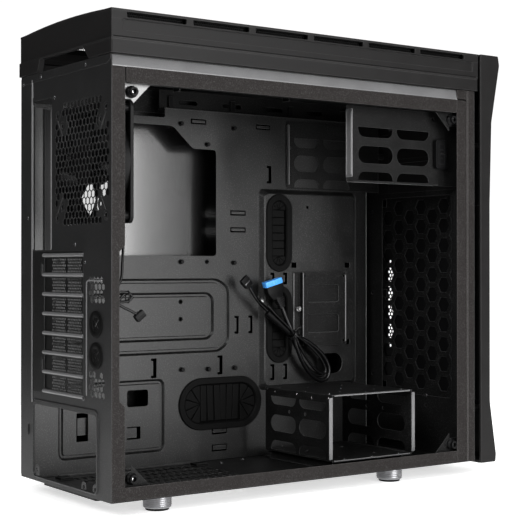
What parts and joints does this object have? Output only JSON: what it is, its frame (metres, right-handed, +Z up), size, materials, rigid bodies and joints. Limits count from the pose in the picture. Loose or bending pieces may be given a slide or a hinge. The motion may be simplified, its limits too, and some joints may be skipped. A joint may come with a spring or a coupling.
{
  "type": "computer case",
  "caption": "Mid-tower computer case with its near side panel off, showing the empty chassis, fan, drive cages, tray grommets, slot covers and folded front-panel leads.",
  "frame": {"origin": "on the ground, under the middle of the case's box", "axes": "+X to the closed side, -X to the open side, -Y to the front, +Z up"},
  "size_m": [0.209, 0.522, 0.496],
  "materials": {
    "chassis_steel": "black powder coat, fine texture, satin",
    "inner_steel": "black powder coat, fine texture, satin",
    "cover_plastic": "black moulded plastic, fine grain",
    "black_plastic": "black plastic, satin",
    "rubber_black": "matte black rubber",
    "foot_metal": "ribbed, bright plated",
    "screw_metal": "bright nickel",
    "cable_jacket": "black flexible jacket, slightly glossy",
    "blue_plastic": "bright blue moulded insert with a black body"
  },
  "bodies": {
    "case": {"audio_lead": "cable_jacket", "audio_plug": "black_plastic", "bay_cover_1": "cover_plastic", "bay_cover_2": "cover_plastic", "bay_plate_far": "chassis_steel", "bay_plate_near": "chassis_steel", "cable_grommet_lower": "rubber_black", "cable_grommet_side": "rubber_black", "cable_grommet_upper": "rubber_black", "corner_bracket_front_bottom": "chassis_steel", "corner_bracket_front_top": "chassis_steel", "corner_bracket_rear_bottom": "chassis_steel", "corner_bracket_rear_top": "chassis_steel", "drive_cage": "chassis_steel", "fan_lead": "cable_jacket", "fan_lead_hank": "cable_jacket", "fan_plug": "black_plastic", "fan_plug_lead": "cable_jacket", "floor_pan": "chassis_steel", "foot_far_front": "foot_metal", "foot_far_rear": "foot_metal", "foot_near_front": "foot_metal", "foot_near_rear": "foot_metal", "foot_pad_far_front": "rubber_black", "foot_pad_far_rear": "rubber_black", "foot_pad_near_front": "rubber_black", "foot_pad_near_rear": "rubber_black", "front_bezel": "cover_plastic", "front_fascia": "cover_plastic", "front_grille": "black_plastic", "front_leads_exit": "cable_jacket", "front_leads_hank": "cable_jacket", "front_panel": "chassis_steel", "hose_grommet_1": "rubber_black", "hose_grommet_2": "rubber_black", "motherboard_tray": "inner_steel", "port_module": "black_plastic", "rear_fan_frame": "black_plastic", "rear_panel": "chassis_steel", "slot_cover_1": "chassis_steel", "slot_cover_2": "chassis_steel", "slot_cover_3": "chassis_steel", "slot_cover_4": "chassis_steel", "slot_cover_5": "chassis_steel", "slot_cover_6": "chassis_steel", "slot_cover_7": "chassis_steel", "top_cover_roof": "cover_plastic", "top_cover_skirt": "cover_plastic", "top_panel": "chassis_steel", "usb_lead": "cable_jacket", "usb_plug": "blue_plastic"},
    "fan_rotor": {"rear_fan_rotor": "black_plastic"},
    "side_panel": {"side_panel": "chassis_steel"},
    "power_button": {"power_button": "cover_plastic"},
    "reset_button": {"reset_button": "cover_plastic"},
    "bay_latch": {"bay_latch": "black_plastic"},
    "ssd_tray": {"ssd_tray": "chassis_steel"},
    "ssd_thumbscrew": {"ssd_tray_thumbscrew": "screw_metal"},
    "cage_thumbscrew": {"drive_cage_thumbscrew": "chassis_steel"},
    "dust_filter": {"dust_filter": "black_plastic"}
  },
  "joints": [
    {"name": "fan_spin", "type": "hinge", "parent": "case", "child": "fan_rotor", "pos_m": [-0.0385, 0.245, 0.345], "axis": [0, 1, 0], "continuous": true},
    {"name": "side_panel_slide", "type": "slide", "parent": "case", "child": "side_panel", "axis": [0, 1, 0], "range_m": [0, 0.02]},
    {"name": "power_button_press", "type": "slide", "parent": "case", "child": "power_button", "axis": [0, 0, -1], "range_m": [0, 0.002], "stiffness_N_per_m": 400},
    {"name": "reset_button_press", "type": "slide", "parent": "case", "child": "reset_button", "axis": [0, 0, -1], "range_m": [0, 0.0012], "stiffness_N_per_m": 400},
    {"name": "bay_latch_slide", "type": "slide", "parent": "case", "child": "bay_latch", "axis": [0, -1, 0], "range_m": [0, 0.008]},
    {"name": "ssd_tray_lift", "type": "slide", "parent": "case", "child": "ssd_tray", "axis": [0, 0, 1], "range_m": [0, 0.012]},
    {"name": "ssd_thumbscrew_turn", "type": "hinge", "parent": "ssd_tray", "child": "ssd_thumbscrew", "pos_m": [0.0625, -0.0866, 0.191], "axis": [1, 0, 0], "continuous": true},
    {"name": "cage_thumbscrew_turn", "type": "hinge", "parent": "case", "child": "cage_thumbscrew", "pos_m": [0.0555, -0.044, 0.021], "axis": [0, 0, 1], "continuous": true},
    {"name": "dust_filter_slide", "type": "slide", "parent": "case", "child": "dust_filter", "axis": [0, 1, 0], "range_m": [0, 0.19]}
  ]
}
